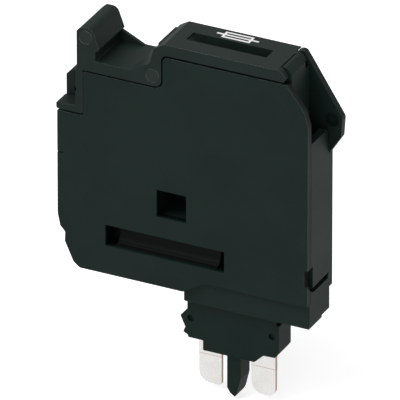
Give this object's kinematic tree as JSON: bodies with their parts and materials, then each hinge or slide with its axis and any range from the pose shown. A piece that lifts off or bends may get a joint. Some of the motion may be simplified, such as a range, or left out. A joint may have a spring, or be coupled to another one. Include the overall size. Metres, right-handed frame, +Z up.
{
  "type": "fuse holder",
  "caption": "Slim black plug-in fuse holder for a terminal block, with a hinged thumb lever on top that carries a glass cartridge fuse, and tinned plug blades below.",
  "frame": {"origin": "midway between the two plug blades, on the seat plane under the shoulder", "axes": "+Z up out of the terminal block, +X along the broad face towards the hinge, +Y from the front cover to the rear plate"},
  "size_m": [0.0318, 0.0062, 0.0424],
  "materials": {
    "black_polyamide": "fine matte texture",
    "tinned_copper": "bright tin plating over copper alloy",
    "nickel_cap": "nickel plating",
    "fuse_glass": "clear",
    "fuse_element": "bare wire",
    "circuit_board": "solder mask",
    "led_lens": "tinted clear",
    "resistor_body": "lacquered",
    "diode_body": "moulded"
  },
  "bodies": {
    "housing": {"rear_housing": "black_polyamide", "front_cover": "black_polyamide", "plug_foot": "black_polyamide", "coding_prong": "black_polyamide", "contact_left": "tinned_copper", "contact_right": "tinned_copper"},
    "lever": {"lever": "black_polyamide", "fuse_glass_tube": "fuse_glass", "fuse_cap_left": "nickel_cap", "fuse_cap_right": "nickel_cap", "fuse_wire": "fuse_element", "indicator_board": "circuit_board", "indicator_led": "led_lens", "series_resistor": "resistor_body", "blocking_diode": "diode_body", "indicator_lead_left": "tinned_copper", "indicator_lead_right": "tinned_copper"}
  },
  "joints": [
    {"name": "lever_swing", "type": "hinge", "parent": "housing", "child": "lever", "pos_m": [0.0065, 0, 0.0303], "axis": [0, 1, 0], "range_deg": [0, 75]}
  ]
}
